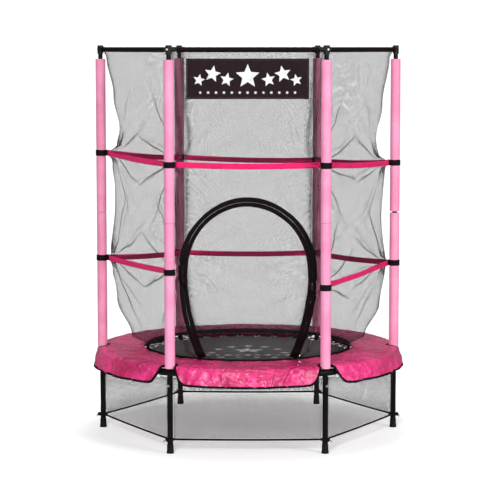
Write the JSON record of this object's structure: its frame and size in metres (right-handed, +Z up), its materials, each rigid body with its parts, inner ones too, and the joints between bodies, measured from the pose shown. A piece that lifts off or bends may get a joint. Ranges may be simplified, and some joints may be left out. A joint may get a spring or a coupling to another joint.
{
  "type": "trampoline",
  "caption": "Small round trampoline with a hexagonal safety net on padded poles, a zipped doorway, a sprung mat, an edge pad and a net skirt round its legs.",
  "frame": {"origin": "on the floor at the centre of the round frame", "axes": "+Z up, -Y towards the side with the doorway, +X to the right of someone facing the doorway"},
  "size_m": [1.3994, 1.4036, 1.738],
  "materials": {
    "frame_black": "satin powder coat",
    "bolt_steel": "zinc plated",
    "cap_black": "moulded rubber",
    "connector_black": "moulded plastic",
    "rivet_white": "moulded plastic",
    "foam_pink": "foam with smooth skin",
    "net_black": "woven mesh",
    "binding_black": "woven webbing",
    "band_pink": "woven webbing",
    "zip_black": "painted zinc",
    "pull_metal": "polished",
    "banner_cloth": "printed cloth",
    "mat_black": "tight woven mat",
    "webbing_black": "woven webbing",
    "ring_steel": "zinc plated",
    "elastic_black": "braided elastic",
    "pad_pink": "coated fabric",
    "toggle_white": "moulded plastic"
  },
  "bodies": {
    "frame": {"rim_arc_1": "frame_black", "corner_joint_1": "frame_black", "leg_1": "frame_black", "pole_lower_1": "frame_black", "pole_upper_1": "frame_black", "rim_arc_2": "frame_black", "corner_joint_2": "frame_black", "leg_2": "frame_black", "pole_lower_2": "frame_black", "pole_upper_2": "frame_black", "rim_arc_3": "frame_black", "corner_joint_3": "frame_black", "leg_3": "frame_black", "pole_lower_3": "frame_black", "pole_upper_3": "frame_black", "rim_arc_4": "frame_black", "corner_joint_4": "frame_black", "leg_4": "frame_black", "pole_lower_4": "frame_black", "pole_upper_4": "frame_black", "rim_arc_5": "frame_black", "corner_joint_5": "frame_black", "leg_5": "frame_black", "pole_lower_5": "frame_black", "pole_upper_5": "frame_black", "rim_arc_6": "frame_black", "corner_joint_6": "frame_black", "leg_6": "frame_black", "pole_lower_6": "frame_black", "pole_upper_6": "frame_black", "foot_caps": "cap_black", "leg_bolts": "bolt_steel", "foam_sleeves": "foam_pink", "top_connectors": "connector_black", "connector_rivets": "rivet_white", "top_rails": "frame_black", "rail_covers": "binding_black", "net_front": "net_black", "door_frame_binding": "binding_black", "net_hem": "binding_black", "net_bands": "band_pink", "pole_loops": "binding_black", "banner": "banner_cloth", "bungee_cords": "elastic_black", "edge_pad": "pad_pink", "pad_ties": "toggle_white", "ground_net": "net_black", "ground_hem_cord": "binding_black", "net_panel_1": "net_black", "net_panel_2": "net_black", "net_panel_3": "net_black", "net_panel_4": "net_black", "net_panel_5": "net_black"},
    "mat": {"mat": "mat_black", "mat_webbing": "webbing_black", "mat_rings": "ring_steel"},
    "door": {"door_flap": "net_black", "door_flap_binding": "binding_black"},
    "zip_slider": {"zip_slider": "zip_black"},
    "zip_pull": {"zip_pull": "pull_metal"}
  },
  "joints": [
    {"name": "mat_bounce", "type": "slide", "parent": "frame", "child": "mat", "axis": [0, 0, 1], "range_m": [-0.2, 0], "stiffness_N_per_m": 3000, "springref_m": 0.012, "deforming": ["bungee_cords"]},
    {"name": "door_fold", "type": "hinge", "parent": "frame", "child": "door", "pos_m": [0, -0.459, 0.39], "axis": [1, 0, 0], "range_deg": [0, 70]},
    {"name": "zip_slide", "type": "slide", "parent": "frame", "child": "zip_slider", "axis": [0.282, -0.3191, 0.9048], "range_m": [0, 0.12]},
    {"name": "pull_swing", "type": "hinge", "parent": "zip_slider", "child": "zip_pull", "pos_m": [0.22373, -0.43154, 0.42354], "axis": [-0.9143, -0.405, 0], "range_deg": [-10, 110]}
  ]
}
